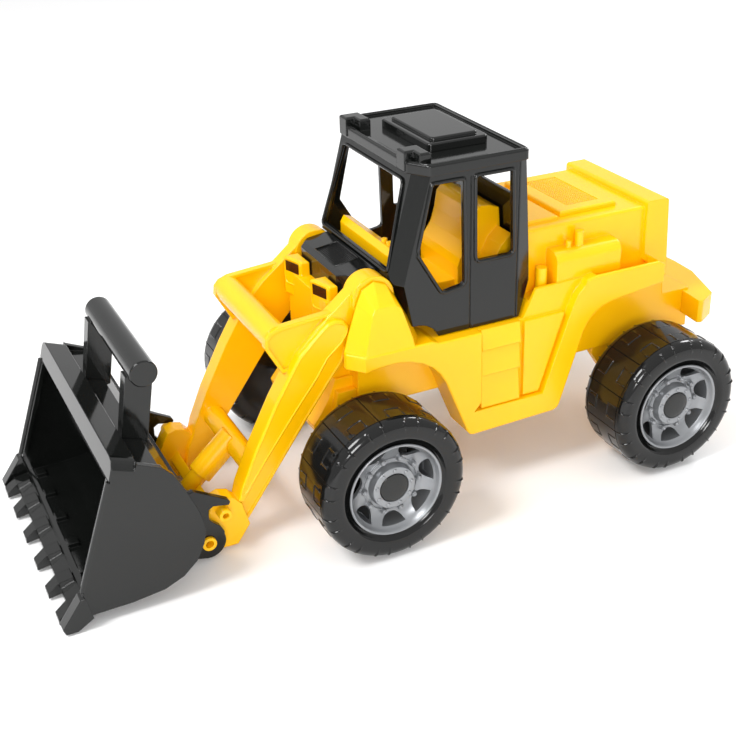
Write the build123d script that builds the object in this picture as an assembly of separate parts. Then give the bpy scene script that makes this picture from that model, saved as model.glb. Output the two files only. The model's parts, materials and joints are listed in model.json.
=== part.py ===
from build123d import *
import os
from math import cos, sin, radians, pi

os.makedirs("parts", exist_ok=True)

# Everything is drawn about the front axle line (y = 0) and moved by SHIFT_Y on export, so that
# the origin lands under the middle of the loader's box. -Y is the front, +X the driver's left.
SHIFT_Y = -58.5
# The tyres reach below z = 0 of the drawing; the floor is at the tyres' lowest line.
SHIFT_Z = 1.5

# wheels
AXLE_Z = 62.5
TYRE_R = AXLE_Z + SHIFT_Z
WHEEL_BASE = 280.0
TYRE_IN_X = 86.5
TYRE_OUT_X = 147.0
RIM_SEAT_R = 38.0
WINDOWS = 7
LUGS = 10
AXLE_R = 4.0
AXLE_RUN_GAP = 0.06
AXLE_HALF = 131.0

# body
WALL = 3.0
CORE_HALF = 60.0
SIDE_X = 88.0
RECESS_X = 80.0
SKIN_X = 76.5
DECK_Z = 151.5
HOOD_Z = 222.0
HOOD_Y0 = 167.0
BAND_Z = 227.0
BAND_HALF = 64.0
BAND_Y0 = 293.0
BAND_Y1 = 316.0
TRAY_Z = 165.0
NOSE_HALF = 44.0
NOSE_Y = -10.0
NOSE_Z = 187.0

# cab
CAB_HALF = 77.0
CAB_WALL = 3.0
CAB_FLOOR_Z = 152.5
ROOF_Z = 301.0
HATCH_Z = 306.0
PAD_Z = 308.6

# lift arms
PIVOT_Y = 20.4
PIVOT_Z = 195.0
HUB_R = 18.5
ARM_OUT_X = 68.0
HUB_IN_X = 48.5
LEG_IN_X = 50.0
PLATE_OUT_X = 63.5
GUSSET_X = 58.0
PIN_R = 7.0
RUN_GAP = 0.05
BAR_Y = -60.0
BAR_Z = 172.5
BAR_R = 11.5
CROSS_Y = -85.0
CROSS_Z = 56.0
CROSS_R = 9.7

# bucket
BUCKET_HALF = 114.0
BUCKET_WALL = 3.5
TILT_Y = -137.5
TILT_Z = 15.0
LUG_R = 14.6
EAR_IN_X = 72.0
EAR_OUT_X = 77.0
BUCKET_PIN_R = 6.0
STOP_Y = -122.0
STOP_Z = 38.0
STOP_R = 5.5
TOOTH_XS = (21.0, 62.0, 98.0)
HANDLE_Y = -171.0
HANDLE_Z = 174.0
HANDLE_R = 11.0
HANDLE_HALF = 67.0
POST_X = 56.0


def poly(points):
    """Closed outline, always counter-clockwise, so that every prism grows the same way."""
    area = sum(a[0] * b[1] - b[0] * a[1] for a, b in zip(points, points[1:] + points[:1]))
    ordered = points if area > 0 else points[::-1]
    return Polygon(*ordered, align=None)


def yz(points, x0, x1):
    """Prism of a (y, z) outline between two x planes."""
    return extrude(Plane.YZ.offset(x0) * poly(points), amount=x1 - x0)


def yz_both(points, half):
    return yz(points, -half, half)


def xy(points, z0, z1):
    return extrude(Plane.XY.offset(z0) * poly(points), amount=z1 - z0)


def xz(points, y0, y1):
    """Prism of an (x, z) outline between two y planes."""
    return extrude(Plane.XZ.offset(-y1) * poly(points), amount=y1 - y0)


def box(x0, x1, y0, y1, z0, z1):
    centre = Pos((x0 + x1) / 2, (y0 + y1) / 2, (z0 + z1) / 2)
    return centre * Box(x1 - x0, y1 - y0, z1 - z0)


def xcyl(radius, x0, x1, y, z):
    """Cylinder along X."""
    return Pos((x0 + x1) / 2, y, z) * Rot(0, 90, 0) * Cylinder(radius, x1 - x0)


def zcyl(radius, x, y, z0, z1):
    return Pos(x, y, (z0 + z1) / 2) * Cylinder(radius, z1 - z0)


def flip(shape):
    return mirror(shape, about=Plane.YZ)


def both(shape):
    return shape + flip(shape)


def soften(shape, edges, radius):
    """Round some edges and keep the sharp shape when the kernel can't."""
    try:
        rounded = fillet(edges, radius)
    except Exception:
        return shape
    if rounded.is_valid and rounded.volume > 0:
        return rounded
    return shape


def arc_points(cy, cz, radius, start, stop, count):
    out = []
    for k in range(count):
        a = radians(start + (stop - start) * k / (count - 1))
        out.append((cy + radius * cos(a), cz + radius * sin(a)))
    return out


nodes = {}


def add(name, shape, colour):
    moved = Pos(0, SHIFT_Y, SHIFT_Z) * shape
    solids = moved.solids()
    solid = solids[0] if len(solids) == 1 else moved
    solid.label = name
    solid.color = colour
    nodes[name] = solid


YELLOW = Color(0.98, 0.78, 0.05)
BLACK = Color(0.07, 0.07, 0.075)
SILVER = Color(0.62, 0.64, 0.66)
LENS = Color(0.16, 0.1, 0.06)
STEEL = Color(0.6, 0.6, 0.6)

# ---------------------------------------------------------------- body shell
FENDER_FRONT = [(2, 140), (2, 154), (64, 154), (70, DECK_Z), (156, DECK_Z), (168, 176), (214, 177)]
FENDER_REAR = [(224, 179), (292, 179), (299, 175), (299, 158)]
REAR_ARCH = [(267, 154), (243, 151.5), (233, 148.5), (225, 143.5), (218.5, 136.5), (214, 128), (211, 118)]
SKIRT = [(192.5, 62), (190.5, 58.5), (186, 56.5), (104, 54.5), (100.5, 55.5), (98, 58.5)]
FRONT_ARCH = [(76.5, 112.5), (71, 122), (63.5, 130), (54, 136), (43, 140), (31, 142), (16, 141.5)]
SIDE_OUTLINE = FENDER_FRONT + FENDER_REAR + REAR_ARCH + SKIRT + FRONT_ARCH
RECESS = [(110, 190), (111, 85), (104, 77), (174, 77), (201, 154), (206, 165), (213, 172), (222, 190)]
PANEL = [(155, 150), (155.5, 78.5), (171.5, 78.5), (195.5, 150)]
STEPS = ((78.0, 107.5), (109.0, 131.5), (133.0, DECK_Z))


def side_block():
    sketch = Plane.YZ.offset(CORE_HALF - WALL) * poly(SIDE_OUTLINE)
    block = extrude(sketch, amount=SIDE_X - CORE_HALF + WALL)
    rim = block.faces().sort_by(Axis.X)[-1].edges()
    block = soften(block, rim, 1.6)
    inner = Plane.YZ.offset(CORE_HALF - 2 * WALL) * offset(poly(SIDE_OUTLINE), amount=-WALL)
    block -= extrude(inner, amount=SKIN_X - CORE_HALF + 2 * WALL)
    block -= yz(RECESS, RECESS_X, SIDE_X + 1)
    # the lower skirt is open underneath, inboard of the outer skin
    block -= box(CORE_HALF - 2 * WALL, SKIN_X, 106, 186, 50, 70)
    # tray between the hood and the fender wall
    block -= box(CORE_HALF - 4, SKIN_X, 160, 297.5, TRAY_Z, 200)
    block -= box(CORE_HALF - 4, SIDE_X - WALL, 226, 296, TRAY_Z, 200)
    block += box(CORE_HALF - WALL, SKIN_X + 1, 162, 298, TRAY_Z - WALL, TRAY_Z)
    for low, high in STEPS:
        block += xz([(SKIN_X, low), (86.6, low), (83.6, high), (SKIN_X, high)], 112, 150.5)
    block += yz(PANEL, SKIN_X, 84.0)
    return block


def tower():
    """Housing of the lift pivot: a wide inner face leaning over to a smaller outer one."""
    outer_top = 192
    inner_pts = [
        (-9, DECK_Z), (-4, 168), (4.5, 194), (9.5, 205), (20.4, 210.5), (31, 206), (37, 197),
        (54, 166), (60, DECK_Z),
    ]
    outer_pts = [
        (4, DECK_Z), (5, 160), (12.5, 186), (15, 190.5), (19, outer_top), (34, 190.5), (38.5, 187.5),
        (46, 162), (48, DECK_Z),
    ]
    top_x = 81.5
    foot_x = SIDE_X - 0.4
    inner_face = make_face(Polyline(*[(69.0, y, z) for y, z in inner_pts], close=True))
    slope = (foot_x - top_x) / (outer_top - DECK_Z)
    leaning = [(foot_x - slope * (z - DECK_Z), y, z) for y, z in outer_pts]
    outer_face = make_face(Polyline(*leaning, close=True))
    return loft([inner_face, outer_face], ruled=True)


LAMP_PLAN = [(18, -13.4), (41, -6.2), (41, 1), (18, 1)]
LENS_PLAN = [(21, -12.8), (37, -7.8), (36.4, -5.9), (20.4, -10.9)]
LENS_Z = (187.6, 196.6)
# both headlights have the same hand, so the right one is the left one moved across
LAMP_PITCH = Pos(-58, 0, 0)


def nose():
    block = box(-NOSE_HALF, NOSE_HALF, NOSE_Y, 44, 93, NOSE_Z)
    block = soften(block, block.edges().filter_by(Axis.Z), 5)
    block -= box(-NOSE_HALF + WALL, NOSE_HALF - WALL, NOSE_Y + WALL, 60, 80, NOSE_Z - WALL)
    lamp = xy(LAMP_PLAN, 166, 200)
    lamp = soften(lamp, lamp.edges().group_by(Axis.Z)[-1], 2)
    return block + lamp + LAMP_PITCH * lamp


def hood():
    block = box(-CORE_HALF, CORE_HALF, HOOD_Y0, 318, TRAY_Z - WALL, HOOD_Z)
    block = soften(block, block.edges().filter_by(Axis.Y).group_by(Axis.Z)[-1], 3)
    step = box(-50, 50, HOOD_Y0 + 1, 208, HOOD_Z - 1, HOOD_Z + 3)
    step = soften(step, step.edges().group_by(Axis.Z)[-1], 2)
    tail = [(BAND_Y1, BAND_Z), (BAND_Y1 + 4, 152), (BAND_Y1 - 3, 152)]
    band = yz_both([(BAND_Y0, 172), (BAND_Y0, BAND_Z)] + tail, BAND_HALF)
    band = soften(band, band.edges().filter_by(Axis.X).group_by(Axis.Z)[-1], 3)
    return block + step + band


CORE_SIDE = [
    (8, 93), (8, DECK_Z), (161, DECK_Z), (161, 166), (318, 166), (321, 131), (352, 131), (352, 92),
    (226, 92), (214, 108), (190, 62), (104, 62), (93, 93),
]
CORE_HOLLOW = [
    (11, 80), (11, DECK_Z - WALL), (170, DECK_Z - WALL), (170, HOOD_Z - WALL), (313, HOOD_Z - WALL),
    (316, 128), (349, 128), (349, 85), (226, 85), (210, 50), (90, 50), (70, 80),
]
body = yz_both(CORE_SIDE, CORE_HALF) + hood() + nose()
body -= yz_both(CORE_HOLLOW, CORE_HALF - WALL)
side = side_block()
body += both(side)
body += both(tower())

# shelf joining the fender tops to the towers' feet, and the floor under the front fenders
body += both(box(CORE_HALF - WALL, 72, 2, 64, DECK_Z - WALL, DECK_Z + 0.2))
# bevelled front end of each fender, outboard of the lift arm
FENDER_TIP = [(69.5, 6), (69.5, -8.5), (74, -8.5), (SIDE_X, 2.5), (SIDE_X, 6)]
tip = xy(FENDER_TIP, 140.5, 154)
tip = soften(tip, tip.edges().group_by(Axis.Z)[-1], 1.5)
body += both(tip)

tank = box(CORE_HALF - 1, 78, 190, 256.5, TRAY_Z - 1, 202)
tank = soften(tank, tank.edges().filter_by(Axis.Y).group_by(Axis.Z)[-1].sort_by(Axis.X)[-1:], 9)
body += both(tank)
body += both(zcyl(5.0, 70, 179, TRAY_Z - 1, 190.5))
body += both(zcyl(4.0, 66.5, 219, 200, 215))
body += both(zcyl(2.6, 66.5, 208, 200, 208))

# seats for the pressed-in parts
LIFT_PIN_IN = 49.0
LIFT_PIN_OUT = 74.0
PIN_SEAT = xcyl(PIN_R, 66, LIFT_PIN_OUT, PIVOT_Y, PIVOT_Z)
body -= both(PIN_SEAT)
lens = xy(LENS_PLAN, *LENS_Z)
body -= lens + LAMP_PITCH * lens
add("body_shell", body, YELLOW)

# ---------------------------------------------------------------- underbody with the axle carriers
CARRIER_X = (49.0, 56.5)
FRONT_CARRIER = [
    (-9, 110), (-14, 84), (-12, 56), (-6, 50), (6, 50), (12, 56), (16, 84), (30, 96), (66, 96),
    (66, 110),
]
CHIN = [
    (-8.5, 119), (-14, 103.5), (-22, 90), (-29.5, 80), (-28, 74), (-14, 55), (-6, 50), (6, 50),
    (14, 58), (16, 119),
]
CHIN_HALF = 49.0
REAR_CARRIER = [
    (246, 110), (248, 84), (266, 56), (273, 50), (287, 50), (294, 56), (312, 82), (348.5, 92),
    (348.5, 110),
]
BOSS_R = 11.0


def carrier(points, axle_y):
    plate = yz(points, CARRIER_X[0], CARRIER_X[1])
    return plate + xcyl(BOSS_R, CARRIER_X[0] - 5, 80, axle_y, AXLE_Z)


pan = box(-56.5, 56.5, 12, 84, 100, 108)
pan += box(-40, 40, 83, 228, 101, 107)
pan += box(-56.5, 56.5, 227, 348.5, 100, 108)
pan += both(carrier(FRONT_CARRIER, 0.0) + carrier(REAR_CARRIER, WHEEL_BASE))
# chin between the front carriers: a closed front that hides the axle, hollow and open behind
chin_in = [(-5, 130), (-10, 103), (-18.5, 90), (-25.5, 79.5), (-12, 59), (-5, 54), (30, 54), (30, 130)]
pan += yz_both(CHIN, CHIN_HALF) - yz_both(chin_in, CHIN_HALF - WALL)
for axle_y in (0.0, WHEEL_BASE):
    pan -= xcyl(AXLE_R, -90, 90, axle_y, AXLE_Z)
pan -= body
add("chassis_pan", pan, YELLOW)

for axle_name, axle_y in (("front_axle", 0.0), ("rear_axle", WHEEL_BASE)):
    add(axle_name, xcyl(AXLE_R, -AXLE_HALF, AXLE_HALF, axle_y, AXLE_Z), STEEL)

# ---------------------------------------------------------------- tail bumper
BUMPER_PLAN = [(0, 384), (28, 382.5), (77, 366), (88, 347), (86, 343), (60, 345), (60, 352), (0, 352)]
bumper = xy(BUMPER_PLAN, 107, 129)
bumper = soften(bumper, bumper.edges().filter_by(Axis.Z).group_by(Axis.X)[-1], 2)
bumper = both(bumper)
bumper += box(-56, 56, 352, 372, 100, 108)
add("tail_bumper", bumper, YELLOW)

# ---------------------------------------------------------------- engine hatch
hatch = box(-46, 46, 212, 271, HOOD_Z, HOOD_Z + 4.5)
hatch = soften(hatch, hatch.edges().group_by(Axis.Z)[-1], 2)
hatch -= box(-35, 35, 226, 260, HOOD_Z + 3.6, HOOD_Z + 6)
RIBS = 17
RIB_HALF = 0.45
RIB_FIRST_Y = 228.0
RIB_PITCH = 30.0 / (RIBS - 1)
for k in range(RIBS):
    y = RIB_FIRST_Y + k * RIB_PITCH
    hatch += box(-35.2, 35.2, y - RIB_HALF, y + RIB_HALF, HOOD_Z + 3.0, HOOD_Z + 4.3)
add("engine_hatch", hatch, YELLOW)

add("headlight_lens_l", lens, LENS)
add("headlight_lens_r", LAMP_PITCH * lens, LENS)

# ---------------------------------------------------------------- bonnet cover
bonnet_plan = [(-36, 2), (36, 2), (47, 12), (47, 33), (-47, 33), (-47, 12)]
bonnet = xy(bonnet_plan, NOSE_Z, 216)
bonnet -= yz_both([(-2, 205.5), (8, 208), (20, 209.8), (45, 213), (45, 230), (-2, 230)], 80)
bonnet = soften(bonnet, bonnet.edges().group_by(Axis.Z)[-1], 1.5)
bonnet -= yz([(9, 206.6), (29, 209.4), (29, 230), (9, 230)], -21, 21)
# cheeks of the cover hang beside the nose
cheek = yz([(12, 176), (12, 196), (33, 196), (33, 166), (22, 168)], NOSE_HALF, NOSE_HALF + 3)
bonnet += both(cheek)
add("bonnet_cover", bonnet, BLACK)

# ---------------------------------------------------------------- cab shell
CAB_SIDE = [
    (75, CAB_FLOOR_Z), (153.5, CAB_FLOOR_Z), (165.5, 182), (164, 212), (157, 294), (57.5, 294),
    (36, 215), (33.5, 206), (34, 203.5), (43.5, 203), (51, 166), (57, 166), (64, 164), (70.5, 159.5),
]
PLAN_OUT = [(-CAB_HALF, 20), (CAB_HALF, 20), (CAB_HALF, 151), (70, 168), (-70, 168), (-CAB_HALF, 151)]


def corner_wedge(inset):
    """Leaning prism that bevels the cab's front corner."""
    lean = (57.5 - 36) / (294 - 215)
    back = 15.8 + 0.9 * inset
    faces = []
    for z in (190.0, 310.0):
        y = 36 + lean * (z - 215) - 0.5
        pts = [(64 - inset, y - 20), (64 - inset, y), (82, y + back), (90, y + back), (90, y - 20)]
        faces.append(make_face(Polyline(*[(a, b, z) for a, b in pts], close=True)))
    return loft(faces, ruled=True)


def shrink(points, amount):
    return offset(poly(points), amount=-amount)


cab = yz_both(CAB_SIDE, 100) & xy(PLAN_OUT, 100, 400)
cab -= both(corner_wedge(0))
cab_in = extrude(Plane.YZ.offset(-100) * shrink(CAB_SIDE, CAB_WALL), amount=200)
cab_in &= extrude(Plane.XY.offset(100) * shrink(PLAN_OUT, CAB_WALL), amount=300)
cab_in -= both(corner_wedge(3.4))
cab -= cab_in
# open below and through the windows
cab -= box(-73, 73, 54, 150, 140, 160)
WIN_FRONT = [
    (70, 284), (96.5, 284), (98.5, 196.5), (96.5, 194.5), (80.5, 192), (77.5, 193.5), (57, 228),
    (57.5, 231),
]
WIN_REAR = [(109.5, 284.5), (142, 284.5), (144.5, 215), (142.5, 213), (112.5, 213), (110.5, 215)]
windows = yz_both(WIN_FRONT, 100) + yz_both(WIN_REAR, 100)
windows += xz([(-63, 214), (63, 214), (54.5, 284), (-54.5, 284)], 20, 66)
windows += xz([(-58, 255), (58, 255), (58, 284), (-58, 284)], 150, 180)
cab -= windows
# raised beads around the side windows
for win in (WIN_FRONT, WIN_REAR):
    ring = extrude(Plane.YZ.offset(CAB_HALF - 1.5) * offset(poly(win), amount=3.0), amount=2.1)
    ring -= yz(win, 60, 100)
    cab += both(ring)
cab -= both(box(CAB_HALF - 0.8, CAB_HALF + 2, 104.0, 105.2, 150, 286))
cab -= both(box(CAB_HALF - 0.8, CAB_HALF + 2, 149.0, 150.0, 150, 290))
# roof slab with a raised rim
ROOF_PLAN = [(-62, 54.5), (62, 54.5), (79, 66), (79, 158), (-79, 158), (-79, 66)]
roof = xy(ROOF_PLAN, 292, ROOF_Z)
roof = soften(roof, roof.edges().filter_by(Axis.Z), 4)
roof = soften(roof, roof.edges().group_by(Axis.Z)[-1], 2)
roof -= extrude(Plane.XY.offset(ROOF_Z - 2) * shrink(ROOF_PLAN, 5), amount=10)
roof -= extrude(Plane.XY.offset(280) * shrink(ROOF_PLAN, 6), amount=15.5)
cab += roof
# two roof lamps of the same hand, each an L in plan
LAMP_L = [(0, 0), (13, 0), (13, 8), (24, 8), (24, 18), (0, 18)]
LAMP_FRONT_Y = 53.5
for lamp_x in (-61.0, 47.0):
    lamp_block = xy([(lamp_x + a, LAMP_FRONT_Y + b) for a, b in LAMP_L], 293, 309)
    lamp_block = soften(lamp_block, lamp_block.edges().group_by(Axis.Z)[-1], 2.0)
    cab += lamp_block
# room for the arm hubs beside the bonnet, then seat the shell on the body
cab -= both(xcyl(HUB_R + 0.8, HUB_IN_X - 2, 100, PIVOT_Y, PIVOT_Z))
cab -= body
cab = cab.solids().sort_by(SortBy.VOLUME)[-1]
add("cab_shell", cab, BLACK)

roof_hatch = box(-43.5, 43.5, 84, 140, ROOF_Z - 2, HATCH_Z)
roof_hatch = soften(roof_hatch, roof_hatch.edges().filter_by(Axis.Z), 4)
roof_hatch = soften(roof_hatch, roof_hatch.edges().group_by(Axis.Z)[-1], 1.6)
pad = box(-37, 37, 90, 134, HATCH_Z, PAD_Z)
pad = soften(pad, pad.edges().filter_by(Axis.Z), 4)
pad = soften(pad, pad.edges().group_by(Axis.Z)[-1], 1.6)
add("roof_hatch", roof_hatch + pad, BLACK)

# ---------------------------------------------------------------- seat and dashboard
seat = box(-28, 28, 84, 126, DECK_Z, 176)
seat = soften(seat, seat.edges().filter_by(Axis.X).group_by(Axis.Z)[-1], 6)
SEAT_REAR = [(160.5, 184), (150.5, 158), (149.4, 156), (149.4, DECK_Z)]
SEAT_BACK = [
    (118, DECK_Z), (117, 190), (119.5, 197), (127, 208), (131, 221), (133.5, 236), (138, 241),
    (148, 240.5), (157, 237), (159, 212), *SEAT_REAR,
]
seat_back = yz_both(SEAT_BACK, 34)
crown = seat_back.edges().filter_by(GeomType.LINE).filter_by(Axis.X).group_by(Axis.Z)
seat_back = soften(seat_back, crown[-1] + crown[-2], 5)
SHELF = [(138, DECK_Z), (138, 196), (146, 212), (156, 221), (158.5, 219), *SEAT_REAR]
seat = seat + seat_back + yz_both(SHELF, 57)
add("seat", seat, YELLOW)

dash = yz_both([(47, DECK_Z), (47, 216), (51, 221), (60, 217), (66, 204), (66, DECK_Z)], 60)
dash &= xy([(-50, 40), (50, 40), (60, 68), (-60, 68)], 100, 260)
for k in range(3):
    dash += Pos(18 + 9 * k, 55.5, 220) * Cylinder(2.6, 5)
dash -= cab
dash -= body
add("dashboard", dash.solids().sort_by(SortBy.VOLUME)[-1], YELLOW)

# ---------------------------------------------------------------- lift pins
lift_pin = xcyl(PIN_R, LIFT_PIN_IN, LIFT_PIN_OUT, PIVOT_Y, PIVOT_Z)
add("lift_pin_l", lift_pin, YELLOW)
add("lift_pin_r", flip(lift_pin), YELLOW)

# ---------------------------------------------------------------- lift arms
# front edge of the leg, from the foot up to the knee
LEG_FRONT = [(-106.5, 39.2), (-103.3, 50.4), (-90.2, 80.7), (-68.9, 121.4), (-46.7, 157.8)]
# rounded upper end of the box beam and its rear edge, back down to the foot
POD_TOP = [(-26.5, 176), (-20, 181.4), (-13, 182.9), (-6, 180.6), (-1.8, 175), (-2.2, 169), (-8, 161)]
POD_REAR = [(-20.6, 150), (-30.8, 134.4), (-54.5, 104.2), (-78.4, 72.2), (-101.5, 38)]
PLATE_TOP = [(-30, 175), (-10.7, 190.4), (1.4, 200.5), (12, 211.4)]
PLATE_REAR = [
    (33, 181.5), (9, 173), (-2, 156), (-6, 143), (-8.1, 139.9), (-13.2, 134.6), (-40.4, 98.3),
    (-75.2, 49.9), (-110.5, 0.8), (-118, 0.6), (-112, 28),
]
GUSSET = [
    (-8, 188), (-34, 186), (-58.6, 184), (-66.8, 181), (-71.2, 176), (-72.2, 168.4), (-66.4, 157.4),
    (-58.9, 143.5), (-40, 146), (-15, 160), (-4, 178),
]
FOOT = [
    (-137.5, 2), (-118, 0.6), (-110.5, 0.8), (-99, 17), (-104, 38), (-112, 46.5), (-121, 49),
    (-128, 46.5), (-132, 40), (-138, 28),
]
FOOT_X = (54.0, 69.5)
GUSSET_LIP = 3.2


def arm():
    side = yz(LEG_FRONT + POD_TOP + POD_REAR, LEG_IN_X, ARM_OUT_X)
    outer_rim = side.faces().sort_by(Axis.X)[-1].edges()
    side = soften(side, outer_rim, 1.5)
    side += yz(LEG_FRONT + PLATE_TOP + PLATE_REAR, LEG_IN_X, PLATE_OUT_X)
    side += xcyl(HUB_R, HUB_IN_X, 67.5, PIVOT_Y, PIVOT_Z)
    # gusset that carries the crossbar, with a raised lip all round
    side += yz(GUSSET, GUSSET_X - 2, GUSSET_X + 1)
    lip = poly(GUSSET) - offset(poly(GUSSET), amount=-GUSSET_LIP)
    side += extrude(Plane.YZ.offset(GUSSET_X - 3.5) * lip, amount=7)
    # foot round the tilt pivot, and the stop boss that sits in the ear's notch
    side += yz(FOOT, *FOOT_X) + xcyl(13.0, *FOOT_X, TILT_Y, TILT_Z)
    side += xcyl(STOP_R, 66, 80, STOP_Y, STOP_Z)
    side -= xcyl(2.6, 68, 82, STOP_Y, STOP_Z)
    return side


arms = both(arm())
arms += xcyl(BAR_R, -GUSSET_X, GUSSET_X, BAR_Y, BAR_Z)
arms += xcyl(CROSS_R, -LEG_IN_X - 2, LEG_IN_X + 2, CROSS_Y, CROSS_Z)
# tie between the feet, where the dummy cylinder ends
TIE = [(-124, 8), (-128, 20), (-121, 27), (-115, 10)]
arms += yz_both(TIE, FOOT_X[0] + 1)
arms -= both(xcyl(PIN_R + RUN_GAP, 30, 90, PIVOT_Y, PIVOT_Z))
arms -= both(xcyl(BUCKET_PIN_R, LEG_IN_X, 72, TILT_Y, TILT_Z))
add("lift_arms", arms, YELLOW)

# ---------------------------------------------------------------- dummy tilt cylinder between the arms
CYL_TOP = (-86.0, 62.0)
CYL_LOW = (-130.0, 21.3)
BARREL_R = 11.0
ROD_R = 8.0
cyl_dir = Vector(0, CYL_LOW[0] - CYL_TOP[0], CYL_LOW[1] - CYL_TOP[1])
cyl_len = cyl_dir.length
barrel_len = 0.72 * cyl_len
cyl_plane = Plane(origin=(0, CYL_TOP[0], CYL_TOP[1]), x_dir=(1, 0, 0), z_dir=cyl_dir)


def largest(shape):
    return shape.solids().sort_by(SortBy.VOLUME)[-1]


barrel = cyl_plane * Pos(0, 0, barrel_len / 2) * Cylinder(BARREL_R, barrel_len)
barrel = largest(barrel - arms)
rod = cyl_plane * Pos(0, 0, (barrel_len + cyl_len) / 2) * Cylinder(ROD_R, cyl_len - barrel_len)
rod = largest(rod - arms - barrel)
add("cylinder_rod", rod, YELLOW)
add("cylinder_barrel", barrel, YELLOW)

bucket_pin = xcyl(BUCKET_PIN_R, 58, 79.5, TILT_Y, TILT_Z) - xcyl(3.4, 62, 82, TILT_Y, TILT_Z)
add("bucket_pin_l", bucket_pin, YELLOW)
add("bucket_pin_r", flip(bucket_pin), YELLOW)

# ---------------------------------------------------------------- bucket
BUCKET_BACK = [
    (-196, 128), (-177, 119.5), (-168.5, 110), (-160.5, 93), (-152, 71), (-149, 56), (-151.5, 43),
    (-158.5, 29), (-170, 18.5), (-186, 11.5), (-212, 8.5),
]
BUCKET_OUT = BUCKET_BACK + [(-244, 8), (-249, 27), (-216, 119), (-212, 135), (-197, 129.5)]
shell = yz_both(BUCKET_OUT, BUCKET_HALF)
BUCKET_HOLLOW = [
    (-260, 11.5), (-212, 12), (-187, 15), (-172.5, 21.5), (-161.8, 31.2), (-155.2, 44),
    (-152.6, 56), (-155.6, 70), (-164, 91.5), (-171.5, 107), (-179, 115.5), (-190, 119.5),
    (-204, 122), (-225, 126), (-300, 130),
]
bucket = shell - yz_both(BUCKET_HOLLOW, BUCKET_HALF - BUCKET_WALL)
# top lip: a box band leaning forward
lip = yz_both([(-196.5, 112), (-195, 129), (-212.5, 135.5), (-217, 119)], BUCKET_HALF - 0.5)
bucket += lip
# rounded upper corners of the mouth, square to the lip's sloping top
CORNER_R = 10.0
LIP_TOP = Vector(0, -195, 129)
LIP_DIR = Vector(0, -17.5, 6.5).normalized()
LIP_UP = Vector(0, 6.5, 17.5).normalized()
corner_plane = Plane(origin=LIP_TOP - LIP_UP * CORNER_R, x_dir=(1, 0, 0), z_dir=LIP_DIR)
corner_x = BUCKET_HALF - CORNER_R
corner_arc = arc_points(corner_x, 0, CORNER_R, 0, 90, 7)
outside = [(corner_x, 2 * CORNER_R), (corner_x + 2 * CORNER_R, 2 * CORNER_R), (corner_x + 2 * CORNER_R, 0)]
bucket -= both(extrude(corner_plane * poly(corner_arc + outside), amount=30))
# sunk strip between the side rims, behind the lip
STRIP_CUT = [
    (-194.5, 140), (-195.2, 122), (-178, 116.8), (-170, 109.5), (-162.3, 93), (-150, 98), (-165, 125),
]
bucket -= yz_both(STRIP_CUT, BUCKET_HALF - 5)
STRIP = [
    (-196.5, 122), (-196.5, 118), (-181, 113), (-173.5, 106), (-166, 90), (-162.6, 92),
    (-170.2, 108.8), (-178.4, 116),
]
bucket += yz_both(STRIP, BUCKET_HALF - 4)
# front corner guards
GUARD = [(-243, 8), (-247.5, 28), (-251, 27), (-267, 5), (-265, 0), (-256, 0)]
bucket += both(yz(GUARD, BUCKET_HALF - 7, BUCKET_HALF + 4))
# cutting edge and teeth
bucket += yz_both([(-240, 8), (-257, 2.5), (-257, 6.5), (-240, 13)], BUCKET_HALF - 2)
TOOTH = [(-246, 5), (-246, 14), (-258, 12), (-267, 4.5), (-267, 0.5), (-257, 2)]
for tx in TOOTH_XS:
    tooth = yz(TOOTH, tx - 6.5, tx + 6.5)
    boss = box(tx - 5, tx + 5, -240, -231, 10.5, 15.5)
    bucket += both(tooth + boss)
# ear plates with the hook notch
EAR = [
    (-165, 60), (-150, 66), (-146, 67), (-118, 51), (-116.6, 48.6), (-118, 46.0), (-131, 48.6),
    (-135.2, 46), (-135.5, 37.5), (-132, 33), (-126.5, 28), (-123.5, 22),
]
EAR += arc_points(TILT_Y, TILT_Z, LUG_R, 20, -110, 12)
EAR += [(-158, 5), (-172, 18), (-165, 40)]
ear = yz(EAR, EAR_IN_X, EAR_OUT_X)
ear -= yz([(-300, 11.5)] + BUCKET_HOLLOW + [(-300, 200)], EAR_IN_X - 1, EAR_OUT_X + 1)
bucket += both(ear)
bucket -= both(xcyl(BUCKET_PIN_R + RUN_GAP, EAR_IN_X - 1, EAR_OUT_X + 1, TILT_Y, TILT_Z))
add("bucket", bucket, BLACK)

# ---------------------------------------------------------------- bucket handle
handle = xcyl(HANDLE_R, -HANDLE_HALF, HANDLE_HALF, HANDLE_Y, HANDLE_Z)
handle = soften(handle, handle.edges().filter_by(GeomType.CIRCLE), 1.2)
post = yz([(-184, 172), (-163, 168), (-175, 100), (-196, 100)], POST_X - 7, POST_X + 5)
handle += both(post)
handle -= bucket
add("bucket_handle", largest(handle), BLACK)


# ---------------------------------------------------------------- wheels
def spin(profile):
    """Revolve an (x, r) outline about the wheel's axis."""
    face = make_face(Polyline(*[(x, r, 0) for x, r in profile], close=True))
    return revolve(face, axis=Axis.X, revolution_arc=360)


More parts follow.
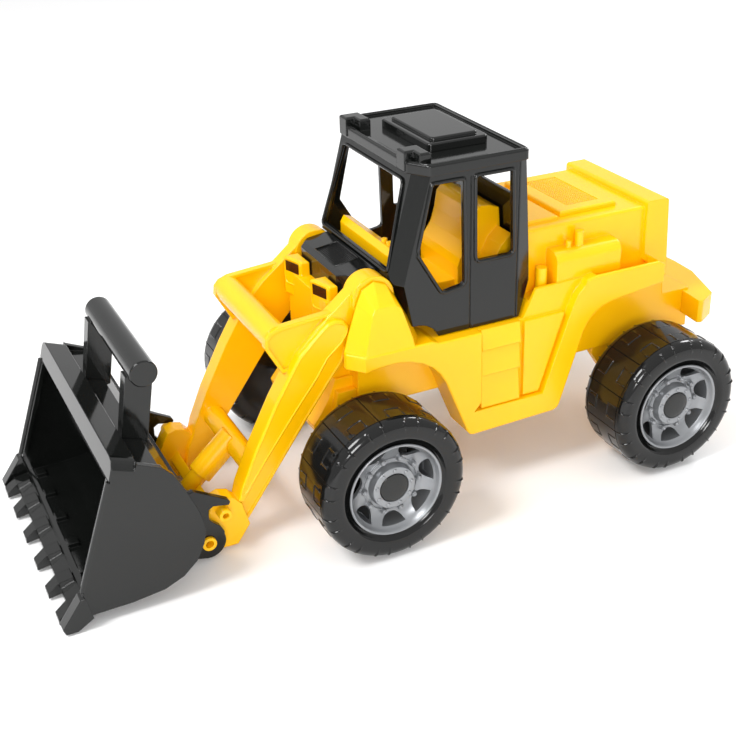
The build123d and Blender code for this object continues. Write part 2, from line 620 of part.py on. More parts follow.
TYRE = [
    (TYRE_IN_X, 10), (TYRE_IN_X, 50), (88, 57), (91.5, 61.6), (97, TYRE_R), (138, TYRE_R), (143.2, 61.8),
    (TYRE_OUT_X, 56), (146.8, 49), (145.4, 44), (145, 41.2), (141, 38.5), (139, RIM_SEAT_R),
    (94, RIM_SEAT_R), (89.5, 30), (89.5, 10),
]
BORE_R = AXLE_R + AXLE_RUN_GAP
BARREL_IN_R = RIM_SEAT_R - 2.6
RIM = [
    (96, BARREL_IN_R), (96, RIM_SEAT_R), (139, RIM_SEAT_R), (141, 38.5), (145, 41.2), (144.6, 38.6),
    (142.5, 37.2), (134, 35.6), (131.5, 33), (136.5, 23.5), (138, 23), (138, 13), (134, 13),
    (134, BORE_R), (100, BORE_R), (100, 10), (131, 11), (132, 21), (128, 29.5), (127.5, 33.5),
    (125, BARREL_IN_R),
]
WINDOW = [(25.2, -3.0), (32.2, -8.2), (33.6, -4.5), (34.0, 0), (33.6, 4.5), (32.2, 8.2), (25.2, 3.0)]
LUG_CIRCLE_R = 20.5


def wheel_parts():
    tyre = spin(TYRE)
    rim = spin(RIM)
    window = Pos(132, 0, 0) * Rot(0, 90, 0) * extrude(poly(WINDOW), 8, both=True)
    for k in range(WINDOWS):
        rim -= Rot(360 / WINDOWS * k + 12, 0, 0) * window
    for k in range(LUGS):
        a = 2 * pi * k / LUGS
        rim += xcyl(1.6, 134, 139.5, LUG_CIRCLE_R * cos(a), LUG_CIRCLE_R * sin(a))
    cap = spin([(134, 0), (134, 12.6), (140.6, 12.6), (141.6, 11.6), (142, 8), (142, 0)])
    cap -= xcyl(AXLE_R, 120, AXLE_HALF + 5, 0, 0)
    return tyre, rim, cap


tyre, rim, cap = wheel_parts()
for tag, axle_y, sign in (("fl", 0.0, 1), ("fr", 0.0, -1), ("rl", WHEEL_BASE, 1), ("rr", WHEEL_BASE, -1)):
    for kind, shape, colour in (("tyre", tyre, BLACK), ("rim", rim, SILVER), ("hub_cap", cap, BLACK)):
        placed = shape if sign > 0 else flip(shape)
        add(kind + "_" + tag, Pos(0, axle_y, AXLE_Z) * placed, colour)

for name, shape in nodes.items():
    export_step(shape, "parts/" + name + ".step")

box_all = Compound(children=list(nodes.values())).bounding_box()
print("box", box_all.min, box_all.max, "size", box_all.size)
print("nodes", len(nodes))
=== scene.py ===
"""Toy front loader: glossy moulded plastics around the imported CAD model."""
import json
import math

import bmesh
import bpy
from mathutils import Matrix, Vector


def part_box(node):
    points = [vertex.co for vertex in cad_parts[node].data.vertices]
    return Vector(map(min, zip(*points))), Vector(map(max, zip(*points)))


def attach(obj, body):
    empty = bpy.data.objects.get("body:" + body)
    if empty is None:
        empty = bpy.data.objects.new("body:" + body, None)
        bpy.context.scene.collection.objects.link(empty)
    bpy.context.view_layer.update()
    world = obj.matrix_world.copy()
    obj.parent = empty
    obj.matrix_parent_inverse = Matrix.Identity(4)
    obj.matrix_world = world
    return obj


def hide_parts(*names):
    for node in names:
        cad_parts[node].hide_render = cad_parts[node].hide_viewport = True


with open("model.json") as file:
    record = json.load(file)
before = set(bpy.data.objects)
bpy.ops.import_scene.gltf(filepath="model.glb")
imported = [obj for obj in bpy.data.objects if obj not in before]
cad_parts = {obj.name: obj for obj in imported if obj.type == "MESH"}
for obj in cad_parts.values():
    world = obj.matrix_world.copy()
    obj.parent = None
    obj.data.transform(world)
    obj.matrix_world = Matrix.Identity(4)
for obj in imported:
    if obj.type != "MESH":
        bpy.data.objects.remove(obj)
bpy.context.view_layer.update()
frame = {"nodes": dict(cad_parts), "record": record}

MM = 0.001
LEFT, RIGHT = 1, -1
WHEELS = {"fl": LEFT, "fr": RIGHT, "rl": LEFT, "rr": RIGHT}


# ---------------------------------------------------------------- materials
def linear(*levels):
    """8-bit screen colour to linear light."""
    return tuple(v / 255 / 12.92 if v <= 10 else ((v / 255 + 0.055) / 1.055) ** 2.4 for v in levels)


def new_material(name):
    material = bpy.data.materials.new(name)
    material.use_nodes = True
    tree = material.node_tree
    return material, tree, tree.nodes["Principled BSDF"]


def noise(tree, scale, detail=4.0, rough=0.55):
    coords = tree.nodes.new("ShaderNodeTexCoord")
    node = tree.nodes.new("ShaderNodeTexNoise")
    node.inputs["Scale"].default_value = scale
    node.inputs["Detail"].default_value = detail
    node.inputs["Roughness"].default_value = rough
    tree.links.new(coords.outputs["Object"], node.inputs["Vector"])
    return node.outputs["Fac"]


def ramp(tree, factor, low, high, start=0.3, end=0.7):
    """Colour or grey that runs from low to high as factor goes from start to end."""
    node = tree.nodes.new("ShaderNodeValToRGB")
    for element, place, value in zip(node.color_ramp.elements, (start, end), (low, high)):
        element.position = place
        element.color = (*value, 1) if isinstance(value, tuple) else (value, value, value, 1)
    tree.links.new(factor, node.inputs["Fac"])
    return node.outputs["Color"]


def bump(tree, shader, height, strength, distance, radius):
    """Fine surface relief over rounded edges."""
    edge = tree.nodes.new("ShaderNodeBevel")
    edge.samples = EDGE_SAMPLES
    edge.inputs["Radius"].default_value = radius
    node = tree.nodes.new("ShaderNodeBump")
    tree.links.new(edge.outputs["Normal"], node.inputs["Normal"])
    node.inputs["Strength"].default_value = strength
    node.inputs["Distance"].default_value = distance
    tree.links.new(height, node.inputs["Height"])
    tree.links.new(node.outputs["Normal"], shader.inputs["Normal"])


# noise scales of the cloudy tint, the handling marks and the mould texture; that texture's depth in m
CLOUD_SCALE, HANDLING_SCALE, MOULD_SCALE = 11, 38, 900
MOULD_DEPTH = 0.0002
EDGE_SAMPLES = 6


def plastic(name, low, high, rough, speckle, radius, **sockets):
    """Moulded plastic: a faint cloudy tint, uneven gloss from handling and a very fine mould texture."""
    material, tree, shader = new_material(name)
    tint = ramp(tree, noise(tree, CLOUD_SCALE, 3), low, high)
    tree.links.new(tint, shader.inputs["Base Color"])
    gloss = ramp(tree, noise(tree, HANDLING_SCALE, 6, 0.7), *rough)
    tree.links.new(gloss, shader.inputs["Roughness"])
    bump(tree, shader, noise(tree, MOULD_SCALE, 2), speckle, MOULD_DEPTH, radius)
    for socket, value in sockets.items():
        shader.inputs[socket.replace("_", " ")].default_value = value
    return material


def yellow(name, radius):
    return plastic(
        name, linear(254, 188, 2), linear(255, 193, 3), (0.20, 0.27), 0.02, radius, Specular_IOR_Level=0.42,
        Subsurface_Weight=0.10, Subsurface_Radius=(1.0, 0.40, 0.02), Subsurface_Scale=0.004,
    )


def black(name, radius):
    return plastic(
        name, (0.0040, 0.0045, 0.0041), (0.0060, 0.0066, 0.0061), (0.07, 0.13), 0.02, radius,
        Specular_IOR_Level=0.46,
    )


# the fine finishes keep the edges of the small grille bars crisp
YELLOW, YELLOW_FINE = yellow("yellow_plastic", 0.0015), yellow("yellow_plastic_fine", 0.0003)
BLACK, BLACK_FINE = black("black_plastic", 0.0011), black("black_plastic_fine", 0.0003)
TYRE = plastic(
    "tyre_plastic", (0.0036, 0.0037, 0.0036), (0.0055, 0.0056, 0.0055), (0.10, 0.16), 0.03, 0.0003,
    Specular_IOR_Level=0.38,
)
SILVER = plastic(
    "silver_plastic", (0.23, 0.238, 0.25), (0.28, 0.288, 0.30), (0.28, 0.38), 0.12, 0.0005, Metallic=0.6,
)
LENS = plastic("lens_plastic", linear(36, 18, 10), linear(46, 23, 13), (0.10, 0.18), 0.02, 0.0006)
STEEL = plastic(
    "axle_steel", (0.50, 0.49, 0.47), (0.58, 0.57, 0.55), (0.28, 0.42), 0.08, 0.0004, Metallic=1.0,
)

SLOT_MATERIALS = {
    "yellow_plastic": YELLOW, "black_plastic": BLACK, "tyre_plastic": TYRE,
    "silver_plastic": SILVER, "lens_plastic": LENS, "steel": STEEL,
}
FINE_NODES = {"engine_hatch": YELLOW_FINE}
SLOT_OF = {part["node"]: part["material_slot"] for part in frame["record"]["subparts"]}


# ---------------------------------------------------------------- mesh helpers
def add_piece(name, mesh, material, body, place=(0, 0, 0)):
    piece = bpy.data.objects.new(name, mesh)
    bpy.context.scene.collection.objects.link(piece)
    piece.location = place
    if not mesh.materials:
        mesh.materials.append(material)
    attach(piece, body)
    return piece


def mesh_from(name, bm, smooth=True):
    bmesh.ops.recalc_face_normals(bm, faces=bm.faces)
    mesh = bpy.data.meshes.new(name)
    bm.to_mesh(mesh)
    bm.free()
    for face in mesh.polygons:
        face.use_smooth = smooth
    return mesh


def sharpen(mesh, degrees=34):
    """Smooth shading that breaks at hard edges."""
    mesh.set_sharp_from_angle(angle=math.radians(degrees))


def lathe(profile, steps, height=None):
    """Closed (x, r) outline in mm turned about X.

    steps is a number of equal steps or a list of angles. height(angle, x, r) gives a lift along the
    outline's normal.
    """
    bm = bmesh.new()
    angles = steps if isinstance(steps, list) else [360 * k / steps for k in range(steps)]
    count = len(profile)
    normals = []
    for k, (x, r) in enumerate(profile):
        before, after = profile[k - 1], profile[(k + 1) % count]
        dx, dr = after[0] - before[0], after[1] - before[1]
        size = math.hypot(dx, dr) or 1
        normals.append((-dr / size, dx / size))
    rings = []
    for angle in angles:
        c, s = math.cos(math.radians(angle)), math.sin(math.radians(angle))
        ring = []
        for (x, r), (nx, nr) in zip(profile, normals):
            lift = height(angle, x, r) if height else 0.0
            px, pr = x - nx * lift, r - nr * lift
            ring.append(bm.verts.new((px * MM, pr * c * MM, pr * s * MM)))
        rings.append(ring)
    for k, ring in enumerate(rings):
        other = rings[(k + 1) % len(rings)]
        for j in range(count):
            bm.faces.new((ring[j - 1], ring[j], other[j], other[j - 1]))
    return bm


def mirrored(mesh, name):
    """Copy of a mesh with left and right exchanged."""
    copy = mesh.copy()
    copy.name = name
    copy.transform(Matrix.Scale(-1, 4, (1, 0, 0)))
    copy.flip_normals()
    return copy


# ---------------------------------------------------------------- carried-over CAD nodes
def dress(node):
    """Gives a carried-over CAD node its finish."""
    piece = frame["nodes"][node]
    slot = SLOT_OF[node]
    piece.data.materials.clear()
    piece.data.materials.append(FINE_NODES.get(node, SLOT_MATERIALS[slot]))


# ---------------------------------------------------------------- tyres
# angles in degrees within one tread block, half widths in degrees, heights and radii in mm
TYRE_BLOCKS = 12
TYRE_STEP = 360 / TYRE_BLOCKS
TYRE_PHASE = 9.75
GROOVE, GROOVE_DEEP = 0.4, 0.8
NUBS = (1.0, 12.6)
NUB, NUB_HIGH = 0.7, 1.2
LEG_AT = 9.0
RIB, RIB_HIGH = 0.7, 0.6
CROWN_HALF = 20.0
U_SIDE, U_END, U_BAR = 8.0, (18.4, 19.0), 0.8
NUB_SIDE, NUB_R = (24.5, 27.5), (54.5, 57.0)
TREAD_R = 63.2
TREAD_TOP = TREAD_R - 1.0


def peak(distance, half):
    """1 at the middle of a small rib or groove, 0 outside it."""
    return max(0.0, 1.0 - (distance / half) ** 2)


def fade(value, start, stop):
    """Rises from 0 at start to 1 at stop."""
    return min(1.0, max(0.0, (value - start) / (stop - start)))


def tyre_height(angle, x, r):
    """Moulded tread: cross grooves, U ribs, and nubs over the shoulder's outer edge."""
    along = (angle - TYRE_PHASE) % TYRE_STEP
    side = abs(x - TYRE_MID)
    lift = 0.0
    if r > TREAD_TOP:
        lift -= GROOVE_DEEP * peak(min(along, TYRE_STEP - along), GROOVE)
    if side > CROWN_HALF and r > NUB_R[0]:
        nub = min(abs(along - place) for place in NUBS)
        lift += NUB_HIGH * peak(nub, NUB) * fade(side, *NUB_SIDE) * fade(r, *NUB_R)
    if r > TREAD_TOP and side <= CROWN_HALF:
        leg = min(abs(along - LEG_AT), abs(along - (TYRE_STEP - LEG_AT)))
        rib = peak(leg, RIB) * fade(side, U_SIDE - 0.5, U_SIDE) * (1 - fade(side, *U_END))
        if LEG_AT < along < TYRE_STEP - LEG_AT:
            rib = max(rib, peak(side - U_SIDE, U_BAR))
        lift += RIB_HIGH * rib
    return lift


tyre_low, tyre_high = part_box("tyre_fl")
TYRE_IN, TYRE_OUT = tyre_low.x / MM, tyre_high.x / MM
TYRE_MID = (TYRE_IN + TYRE_OUT) / 2


def tyre_profile():
    """Outline from the rim seat over the outer sidewall, across the tread and down the inner disc."""
    outer = [
        (139.0, 38.2), (141.2, 39.2), (142.0, 41.4), (142.2, 42.6), (142.9, 43.8), (144.2, 45.0),
        (145.6, 45.9), (146.2, 47.0), (146.35, 49), (146.4, 51), (146.4, 53), (146.3, 55), (146.1, 56.4),
        (145.8, 57.4), (145.2, 58.8), (144.2, 60.2), (142.9, 61.4), (141.2, 62.4), (139.2, 63.0),
        (136.9, TREAD_R),
    ]
    half = [21.0, 20.0, 19.0, 18.4, 14, 11, 9.4, 8.8, 8.4, U_SIDE, 7.6, 7.2, 6.4, 3]
    tread = [(TYRE_MID + side, TREAD_R) for side in half] + [(TYRE_MID, TREAD_R)]
    tread += [(TYRE_MID - side, TREAD_R) for side in reversed(half)]
    inner = [(max(2 * TYRE_MID - x, TYRE_IN + 0.6), r) for x, r in reversed(outer[8:])]
    disc_depths = [(1.0, 44), (2.2, 42), (2.4, 14), (1.2, 12), (1.2, 10), (4, 10), (4.4, 30)]
    disc = [(TYRE_IN + depth, r) for depth, r in disc_depths] + [(94.0, 38.2)]
    return outer + tread + inner + disc


def tyre_angles():
    """Angles closer together where a rib or a groove needs them."""
    centres = [(0, GROOVE), (TYRE_STEP, GROOVE), (LEG_AT, RIB), (TYRE_STEP - LEG_AT, RIB)]
    centres += [(place, NUB) for place in NUBS]
    local = set(range(3, int(TYRE_STEP) - 1, 3))
    for centre, half in centres:
        local |= {round(centre + half * share, 3) for share in (-1.1, -0.55, 0, 0.55, 1.1)}
    steps = [v for v in sorted(local) if 0 <= v < TYRE_STEP]
    return [TYRE_PHASE + block * TYRE_STEP + v for block in range(TYRE_BLOCKS) for v in steps]


def add_to_wheels(name, stands_for, mesh, slot):
    """One copy of a left-hand mesh on each wheel, in place of that wheel's node."""
    meshes = {LEFT: mesh, RIGHT: mirrored(mesh, name + "right")}
    for tag, side in WHEELS.items():
        low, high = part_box("tyre_" + tag)
        axle = (0, (low.y + high.y) / 2, (low.z + high.z) / 2)
        piece = add_piece(name + tag, meshes[side], SLOT_MATERIALS[slot], "wheel_" + tag, axle)
        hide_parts(stands_for + tag)


def build_tyres():
    mesh = mesh_from("tyre_left", lathe(tyre_profile(), tyre_angles(), tyre_height))
    sharpen(mesh, 40)
    add_to_wheels("tyre_skin_", "tyre_", mesh, "tyre_plastic")


# ---------------------------------------------------------------- rims
RIM_WINDOWS = 7
RIM_LUGS = 10
HUB_BOLTS = 9
WINDOW_TURN, BOLT_TURN = 12, 8
FACE_X, FLANGE_TOP = 133.4, 140.7
LUG_R, BOLT_R, ARC_R = 24.2, 15.6, 23.4
# size, height and sides of the lug nuts, their tips and the hub bolts; span, width and height of the ribs
LUG, TIP, BOLT = (2.7, 4.4, 14), (1.3, 1.1, 10), (1.7, 1.3, 12)
ARC_SPAN, ARC_SIZE = (5, 31), (1.2, 1.3)
CUT_X = (122, 150)
RIM_STEPS, CAP_STEPS = 168, 48
RIM_PROFILE = [
    (144.6, 41.0), (145.2, 40.5), (145.3, 39.8), (145.0, 39.2), (144.0, 38.6), (142.4, 37.9), (140.4, 36.7),
    (138.4, 34.9), (136.6, 32.6), (135.2, 30.2), (134.2, 27.8), (133.6, 25.6), (133.3, 23.6), (133.4, 21.0),
    (133.8, 19.9), (135.0, 19.4), (139.8, 18.7), (140.6, 18.4), (140.9, 17.8), (140.9, 13.4), (140.6, 12.9),
    (138.6, 12.7), (138.0, 12.0), (138.0, 4.2), (127.0, 4.2), (127.0, 18.0), (129.4, 24.0), (130.6, 28.6),
    (132.2, 32.0), (133.6, 34.0), (133.0, 35.4), (96.2, 35.4), (96.2, 37.8), (139.0, 37.9), (141.4, 38.9),
    (144.0, 41.0),
]


def prism_x(bm, outline, x0, x1):
    """Prism of a (y, z) outline in mm between two x planes."""
    near = [bm.verts.new((x0 * MM, y * MM, z * MM)) for y, z in outline]
    far = [bm.verts.new((x1 * MM, y * MM, z * MM)) for y, z in outline]
    bm.faces.new(near)
    bm.faces.new(list(reversed(far)))
    for k in range(len(outline)):
        bm.faces.new((near[k - 1], far[k - 1], far[k], near[k]))


def polar(radius, degrees):
    return radius * math.cos(math.radians(degrees)), radius * math.sin(math.radians(degrees))


def window_outline(centre):
    """D-shaped opening: round towards the hub, flat towards the rim."""
    half, root, tip, corner, steps = 17.0, 36.0, 26.0, 0.7, 12
    points = [polar(root, centre + half * k / steps) for k in range(-steps, steps + 1, 3)]
    for k in range(steps, -steps - 1, -1):
        bulge = max(0.0, 1 - abs(k / steps) ** 2.3) ** 0.62
        points.append(polar(root - corner - (root - tip - corner) * bulge, centre + half * k / steps))
    return points


def stud(bm, x, radius, degrees, size, height, sides):
    """Small round bolt head with a bevelled top, standing on a wheel face."""
    cy, cz = polar(radius, degrees)
    rings = []
    for level, scale in ((-0.6, 1.0), (height * 0.65, 1.0), (height, 0.72)):
        ring = []
        for k in range(sides):
            turn = 2 * math.pi * k / sides
            y, z = cy + size * scale * math.cos(turn), cz + size * scale * math.sin(turn)
            ring.append(bm.verts.new(((x + level) * MM, y * MM, z * MM)))
        rings.append(ring)
    for lower, upper in zip(rings, rings[1:]):
        for k in range(sides):
            bm.faces.new((lower[k - 1], lower[k], upper[k], upper[k - 1]))
    bm.faces.new(rings[-1])
    bm.faces.new(list(reversed(rings[0])))


def arc_rib(bm, x, radius, start, stop, width, height, steps=8):
    """Short curved rib on the wheel face."""
    rows = []
    foot, crest = width / 2, width * 0.32
    for k in range(steps + 1):
        angle = start + (stop - start) * k / steps
        row = []
        for dr, dx in ((-foot, -0.6), (-crest, height), (crest, height), (foot, -0.6)):
            y, z = polar(radius + dr, angle)
            row.append(bm.verts.new(((x + dx) * MM, y * MM, z * MM)))
        rows.append(row)
    for a, b in zip(rows, rows[1:]):
        for k in range(4):
            bm.faces.new((a[k - 1], a[k], b[k], b[k - 1]))
    bm.faces.new(rows[0])
    bm.faces.new(list(reversed(rows[-1])))


def cut(mesh, cutter_bm):
    """Mesh with the cutter's solids taken out of it."""
    body = bpy.data.objects.new("cut_body", mesh)
    tool = bpy.data.objects.new("cut_tool", mesh_from("cut_tool", cutter_bm))
    for each in (body, tool):
        bpy.context.scene.collection.objects.link(each)
    difference = body.modifiers.new("cut", "BOOLEAN")
    difference.operation = "DIFFERENCE"
    difference.solver = "EXACT"
    difference.object = tool
    bpy.context.view_layer.update()
    result = bpy.data.meshes.new_from_object(body.evaluated_get(bpy.context.evaluated_depsgraph_get()))
    for each in (body, tool):
        bpy.data.objects.remove(each)
    return result


def build_rims():
    disc = mesh_from("rim_disc", lathe(RIM_PROFILE, RIM_STEPS))
    windows = bmesh.new()
    for k in range(RIM_WINDOWS):
        prism_x(windows, window_outline(360 / RIM_WINDOWS * k + WINDOW_TURN), *CUT_X)
    disc = cut(disc, windows)
    bm = bmesh.new()
    bm.from_mesh(disc)
    bmesh.ops.remove_doubles(bm, verts=bm.verts, dist=0.00002)
    for k in range(RIM_LUGS):
        angle = 360 / RIM_LUGS * k
        stud(bm, FACE_X, LUG_R, angle, *LUG)
        stud(bm, FACE_X + 4.0, LUG_R, angle, *TIP)
        arc_rib(bm, FACE_X, ARC_R, angle + ARC_SPAN[0], angle + ARC_SPAN[1], *ARC_SIZE)
    for k in range(HUB_BOLTS):
        stud(bm, FLANGE_TOP, BOLT_R, 360 / HUB_BOLTS * k + BOLT_TURN, *BOLT)
    mesh = mesh_from("rim_left", bm)
    sharpen(mesh, 38)
    add_to_wheels("wheel_rim_", "rim_", mesh, "silver_plastic")


CAP_PROFILE = [
    (138.3, 12.4), (140.2, 12.4), (140.7, 12.1), (140.9, 11.6), (141.3, 8.0), (141.5, 4.0), (141.5, 0.01),
    (138.3, 0.01),
]


def build_caps():
    mesh = mesh_from("cap_left", lathe(CAP_PROFILE, CAP_STEPS))
    sharpen(mesh, 30)
    add_to_wheels("axle_cap_", "hub_cap_", mesh, "black_plastic")


# ---------------------------------------------------------------- small moulded details
# Details are drawn in mm about the front axle line, with the axle DRAW_AXLE_Z up.
DRAW_AXLE_Z = 62.5
DRAW_ORIGIN = (0, (tyre_low.y + tyre_high.y) / 2, (tyre_low.z + tyre_high.z) / 2 - DRAW_AXLE_Z * MM)


def block(bm, x0, x1, y0, y1, z0, z1, taper=0.0):
    """Small block whose top is smaller by taper all round."""
    levels = []
    for z, inset in ((z0, 0.0), (z1, taper)):
        left, right, front, back = x0 + inset, x1 - inset, y0 + inset, y1 - inset
        corners = ((left, front), (right, front), (right, back), (left, back))
        levels.append([bm.verts.new((x * MM, y * MM, z * MM)) for x, y in corners])
    low, high = levels
    bm.faces.new(list(reversed(low)))
    bm.faces.new(high)
    for k in range(4):
        bm.faces.new((low[k - 1], low[k], high[k], high[k - 1]))


def bead(name, points, radius, body, slot, closed=False):
    """Raised moulded line that follows a row of points in mm."""
    curve = bpy.data.curves.new(name, "CURVE")
    curve.dimensions = "3D"
    curve.bevel_depth = radius * MM
    curve.bevel_resolution = 3
    curve.use_fill_caps = True
    spline = curve.splines.new("POLY")
    spline.points.add(len(points) - 1)
    spline.use_cyclic_u = closed
    for point, (x, y, z) in zip(spline.points, points):
        point.co = (x * MM, y * MM, z * MM, 1)
    holder = bpy.data.objects.new(name + "_curve", curve)
    bpy.context.scene.collection.objects.link(holder)
    bpy.context.view_layer.update()
    mesh = bpy.data.meshes.new_from_object(holder.evaluated_get(bpy.context.evaluated_depsgraph_get()))
    bpy.data.objects.remove(holder)
    mesh.materials.clear()
    for face in mesh.polygons:
        face.use_smooth = True
    add_piece(name, mesh, SLOT_MATERIALS[slot], body, DRAW_ORIGIN)


def flat_piece(name, bm, body, slot, material=None):
    """Piece with flat-shaded faces."""
    finish = material or SLOT_MATERIALS[slot]
    add_piece(name, mesh_from(name, bm, smooth=False), finish, body, DRAW_ORIGIN)


def rounded(points, radius, steps=5):
    """Closed 2-D outline with each corner turned into an arc-like curve."""
    out = []
    count = len(points)
    for k, corner in enumerate(points):
        here, before, after = Vector(corner), Vector(points[k - 1]), Vector(points[(k + 1) % count])
        start = here + (before - here).normalized() * radius
        stop = here + (after - here).normalized() * radius
        for j in range(steps + 1):
            t = j / steps
            out.append(tuple(start * (1 - t) ** 2 + here * 2 * t * (1 - t) + stop * t ** 2))
    return out


# engine hatch: the cross bars of the fine waffle grille
HATCH_HALF, HATCH_BARS = 33.0, 20
HATCH_Y = (227.6, 258.6)
HATCH_TOP, HATCH_DEEP = 226.3, 1.2
HATCH_BAR_HALF, HATCH_TAPER = 1.0, 0.5


def build_hatch_grille():
    bm = bmesh.new()
    for k in range(HATCH_BARS):
        x = -HATCH_HALF + 2 * HATCH_HALF * k / (HATCH_BARS - 1)
        across = (x - HATCH_BAR_HALF, x + HATCH_BAR_HALF)
        block(bm, *across, *HATCH_Y, HATCH_TOP - HATCH_DEEP, HATCH_TOP, HATCH_TAPER)
    flat_piece("hatch_grille", bm, "chassis", "yellow_plastic", YELLOW_FINE)


# cowl: louvres in the sunk panel, and a raised border round it
LOUVRE_HALF, LOUVRES = 19.6, 11
LOUVRE_THICK, LOUVRE_LOW, LOUVRE_HIGH = 0.45, 0.5, 0.75
PANEL_FRONT, PANEL_BACK = (9.6, 206.7), (28.6, 209.3)
COWL_BORDER = [(-21.4, 8.4, 208.0), (21.4, 8.4, 208.0), (21.4, 29.6, 211.0), (-21.4, 29.6, 211.0)]


def build_cowl():
    bm = bmesh.new()
    for k in range(LOUVRES):
        t = (k + 0.5) / LOUVRES
        y = PANEL_FRONT[0] + (PANEL_BACK[0] - PANEL_FRONT[0]) * t
        z = PANEL_FRONT[1] + (PANEL_BACK[1] - PANEL_FRONT[1]) * t
        along = (y - LOUVRE_THICK, y + LOUVRE_THICK)
        block(bm, -LOUVRE_HALF, LOUVRE_HALF, *along, z - LOUVRE_LOW, z + LOUVRE_HIGH, 0.12)
    flat_piece("cowl_louvres", bm, "chassis", "black_plastic", BLACK_FINE)
    bead("cowl_border", COWL_BORDER, 0.7, "chassis", "black_plastic", closed=True)


# lift arms: raised border of the box beam and the edge of the flange behind it
ARM_FACE_X, FLANGE_X = 67.5, 63.2
BEAM_BORDER = [
    (-102.5, 46.0), (-88.4, 79.8), (-67.2, 120.4), (-45.6, 155.6), (-27.0, 173.6), (-19.6, 179.2),
    (-13.0, 180.6), (-6.8, 178.4), (-3.8, 174.2), (-4.4, 169.4), (-9.6, 162.0), (-22.2, 151.2),
    (-32.4, 135.6), (-56.1, 105.4), (-80.0, 73.4), (-99.0, 46.4),
]
FLANGE_EDGE = [(-4.4, 156.0), (-8.2, 143.6), (-14.6, 135.6), (-41.8, 99.2), (-76.6, 50.8), (-106.0, 10.6)]


def build_arm_lines():
    for side, tag in ((LEFT, "l"), (RIGHT, "r")):
        border = [(side * ARM_FACE_X, y, z) for y, z in BEAM_BORDER]
        bead("beam_border_" + tag, border, 1.1, "arms", "yellow_plastic", closed=True)
        flange = [(side * FLANGE_X, y, z) for y, z in FLANGE_EDGE]
        bead("arm_flange_" + tag, flange, 1.3, "arms", "yellow_plastic")


# headlights: raised rounded frame on the slanting front of each lamp housing, both of the same hand
LAMP_INNER, LAMP_OUTER = Vector((19.6, -12.9, 0)), Vector((39.6, -6.6, 0))
LAMP_WIDE, LAMP_CORNER = 20, 3.5
LAMP_LOW, LAMP_HIGH = 176.0, 198.6
LAMP_SHIFTS = {"l": 0.0, "r": -58.0}


def build_lamp_frames():
    corners = [(0, LAMP_LOW), (LAMP_WIDE, LAMP_LOW), (LAMP_WIDE, LAMP_HIGH), (0, LAMP_HIGH)]
    outline = rounded(corners, LAMP_CORNER)
    for tag, shift in LAMP_SHIFTS.items():
        line = []
        for across, z in outline:
            front = LAMP_INNER.lerp(LAMP_OUTER, across / LAMP_WIDE)
            line.append((front.x + shift, front.y, z))
        bead("lamp_frame_" + tag, line, 0.9, "chassis", "yellow_plastic", closed=True)


# cab: rounded beads round the side windows, the windscreen and the roof edge
WINDOWS = {
    "front": [
        (68.6, 285.5), (98, 285.5), (100, 196), (97, 193), (80, 190.5), (76.5, 192), (55.8, 227.5),
        (56, 231.5),
    ],
    "rear": [(108, 286), (143.4, 286), (146, 214.5), (143.5, 211.5), (112, 211.5), (109, 214.5)],
}
WINDOW_BEAD_X = 77.3
SCREEN = [(-64.5, 212.5), (64.5, 212.5), (55.9, 285.5), (-55.9, 285.5)]
SCREEN_FOOT, SCREEN_LEAN = (35.0, 215.0), 21.5 / 79
ROOF_EDGE = [(-60.5, 56.6), (60.5, 56.6), (76.9, 67.2), (76.9, 155.9), (-76.9, 155.9), (-76.9, 67.2)]
ROOF_TOP = 300.4


def build_cab_beads():
    for side, tag in ((LEFT, "l"), (RIGHT, "r")):
        for name, outline in WINDOWS.items():
            line = [(side * WINDOW_BEAD_X, y, z) for y, z in rounded(outline, 3.0, 3)]
            bead("window_bead_" + name + "_" + tag, line, 1.6, "chassis", "black_plastic", closed=True)
    foot_y, foot_z = SCREEN_FOOT
    screen = [(x, foot_y + SCREEN_LEAN * (z - foot_z), z) for x, z in rounded(SCREEN, 5.0)]
    bead("screen_bead", screen, 1.2, "chassis", "black_plastic", closed=True)
    roof = [(x, y, ROOF_TOP) for x, y in rounded(ROOF_EDGE, 4.0)]
    bead("roof_bead", roof, 1.3, "chassis", "black_plastic", closed=True)


# bucket: broad rim along the upright edges of the mouth, with a bead on its front edge
MOUTH_EDGE = [(-217.0, 118.0), (-247.6, 30.0)]
MOUTH_X = 112.0
RIM_WIDE, RIM_DEEP = 7.5, 4.0


def build_bucket_rim():
    (top_y, top_z), (foot_y, foot_z) = MOUTH_EDGE
    for side, tag in ((LEFT, "l"), (RIGHT, "r")):
        line = [(side * MOUTH_X, y, z) for y, z in MOUTH_EDGE]
        bead("mouth_rim_" + tag, line, 2.2, "bucket", "black_plastic")
        bm = bmesh.new()
        outline = [(top_y, top_z), (top_y + RIM_DEEP, top_z), (foot_y + RIM_DEEP, foot_z), (foot_y, foot_z)]
        prism_x(bm, outline, side * (MOUTH_X + 1.0), side * (MOUTH_X - RIM_WIDE))
        flat_piece("mouth_frame_" + tag, bm, "bucket", "black_plastic")


# ---------------------------------------------------------------- camera, light and floor
CAMERA_AT = Vector((0.8700, -0.4179, 0.5978))
AZIMUTH, ELEVATION, ROLL = 63.50, 27.11, -0.99
LENS_MM, SENSOR_MM = 59.28, 36.0
SHIFT = (-0.0394, -0.0156)
WORLD_LOW, WORLD_HIGH = 0.80, 0.90
# name: place, aim, size in m, power in W
LIGHTS = {
    "key": ((0.3, -1.5, 2.1), (0, 0, 0.1), 0.9, 40),
    "fill": ((2.1, -0.9, 1.0), (0, 0, 0.12), 0.7, 26),
    "back": ((-0.6, 1.9, 1.7), (0, 0, 0.1), 0.7, 20),
}
FLOOR_HALF, FLOOR_DROP, FLOOR_GREY, FLOOR_ROUGH = 12, 0.0005, 0.93, 0.6


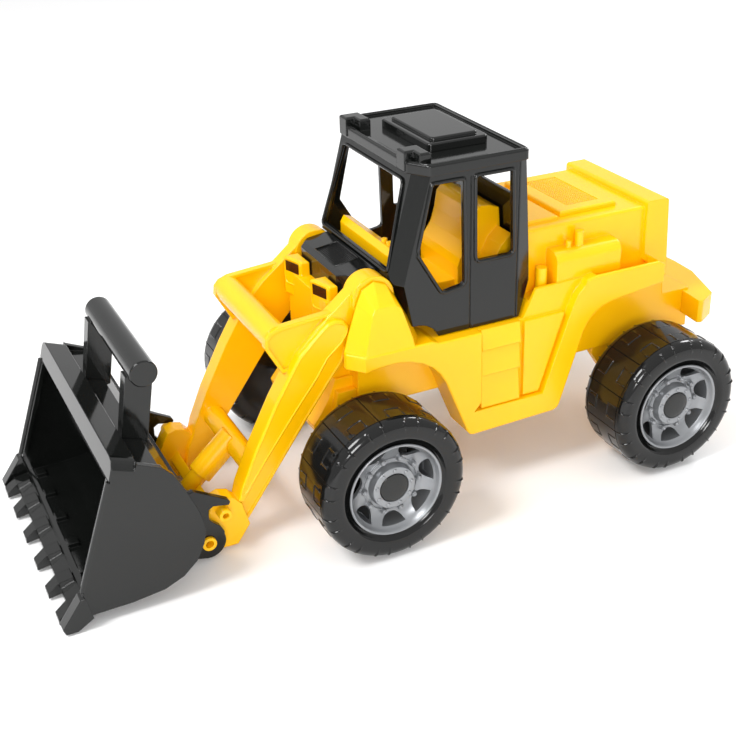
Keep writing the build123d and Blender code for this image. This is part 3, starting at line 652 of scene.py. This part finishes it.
def build_camera():
    data = bpy.data.cameras.new("camera")
    data.lens, data.sensor_width = LENS_MM, SENSOR_MM
    data.shift_x, data.shift_y = SHIFT
    data.clip_end = 20
    camera = bpy.data.objects.new("camera", data)
    bpy.context.scene.collection.objects.link(camera)
    az, el, roll = (math.radians(v) for v in (AZIMUTH, ELEVATION, ROLL))
    back = Vector((math.sin(az) * math.cos(el), -math.cos(az) * math.cos(el), math.sin(el)))
    right = (-back).cross(Vector((0, 0, 1))).normalized()
    up = right.cross(-back)
    side = right * math.cos(roll) + up * math.sin(roll)
    top = up * math.cos(roll) - right * math.sin(roll)
    matrix = Matrix((side, top, back)).transposed().to_4x4()
    matrix.translation = CAMERA_AT
    camera.matrix_world = matrix
    bpy.context.scene.camera = camera


def area_light(name, place, aim, size, power):
    data = bpy.data.lights.new(name, "AREA")
    data.shape = "DISK"
    data.size = size
    data.energy = power
    light = bpy.data.objects.new(name, data)
    bpy.context.scene.collection.objects.link(light)
    light.location = place
    light.rotation_mode = "QUATERNION"
    light.rotation_quaternion = (Vector(aim) - Vector(place)).to_track_quat("-Z", "Y")


def build_studio():
    world = bpy.data.worlds.new("studio")
    world.use_nodes = True
    tree = world.node_tree
    coords = tree.nodes.new("ShaderNodeTexCoord")
    split = tree.nodes.new("ShaderNodeSeparateXYZ")
    tree.links.new(coords.outputs["Generated"], split.inputs["Vector"])
    sky = ramp(tree, split.outputs["Z"], WORLD_LOW, WORLD_HIGH, 0.25, 0.9)
    tree.links.new(sky, tree.nodes["Background"].inputs["Color"])
    bpy.context.scene.world = world
    for name, settings in LIGHTS.items():
        area_light(name, *settings)
    bm = bmesh.new()
    bmesh.ops.create_grid(bm, x_segments=4, y_segments=4, size=FLOOR_HALF)
    floor_mesh = mesh_from("floor", bm)
    floor = bpy.data.objects.new("floor", floor_mesh)
    bpy.context.scene.collection.objects.link(floor)
    floor.location = (0, 0, -FLOOR_DROP)
    material, _, shader = new_material("pale_floor")
    shader.inputs["Base Color"].default_value = (FLOOR_GREY, FLOOR_GREY, FLOOR_GREY, 1)
    shader.inputs["Roughness"].default_value = FLOOR_ROUGH
    floor_mesh.materials.append(material)
    bpy.context.scene.view_settings.view_transform = "Standard"


build_tyres()
build_rims()
build_caps()
build_hatch_grille()
build_cowl()
build_arm_lines()
build_lamp_frames()
build_cab_beads()
build_bucket_rim()
for node in frame["nodes"]:
    if not frame["nodes"][node].hide_render:
        dress(node)
build_camera()
build_studio()
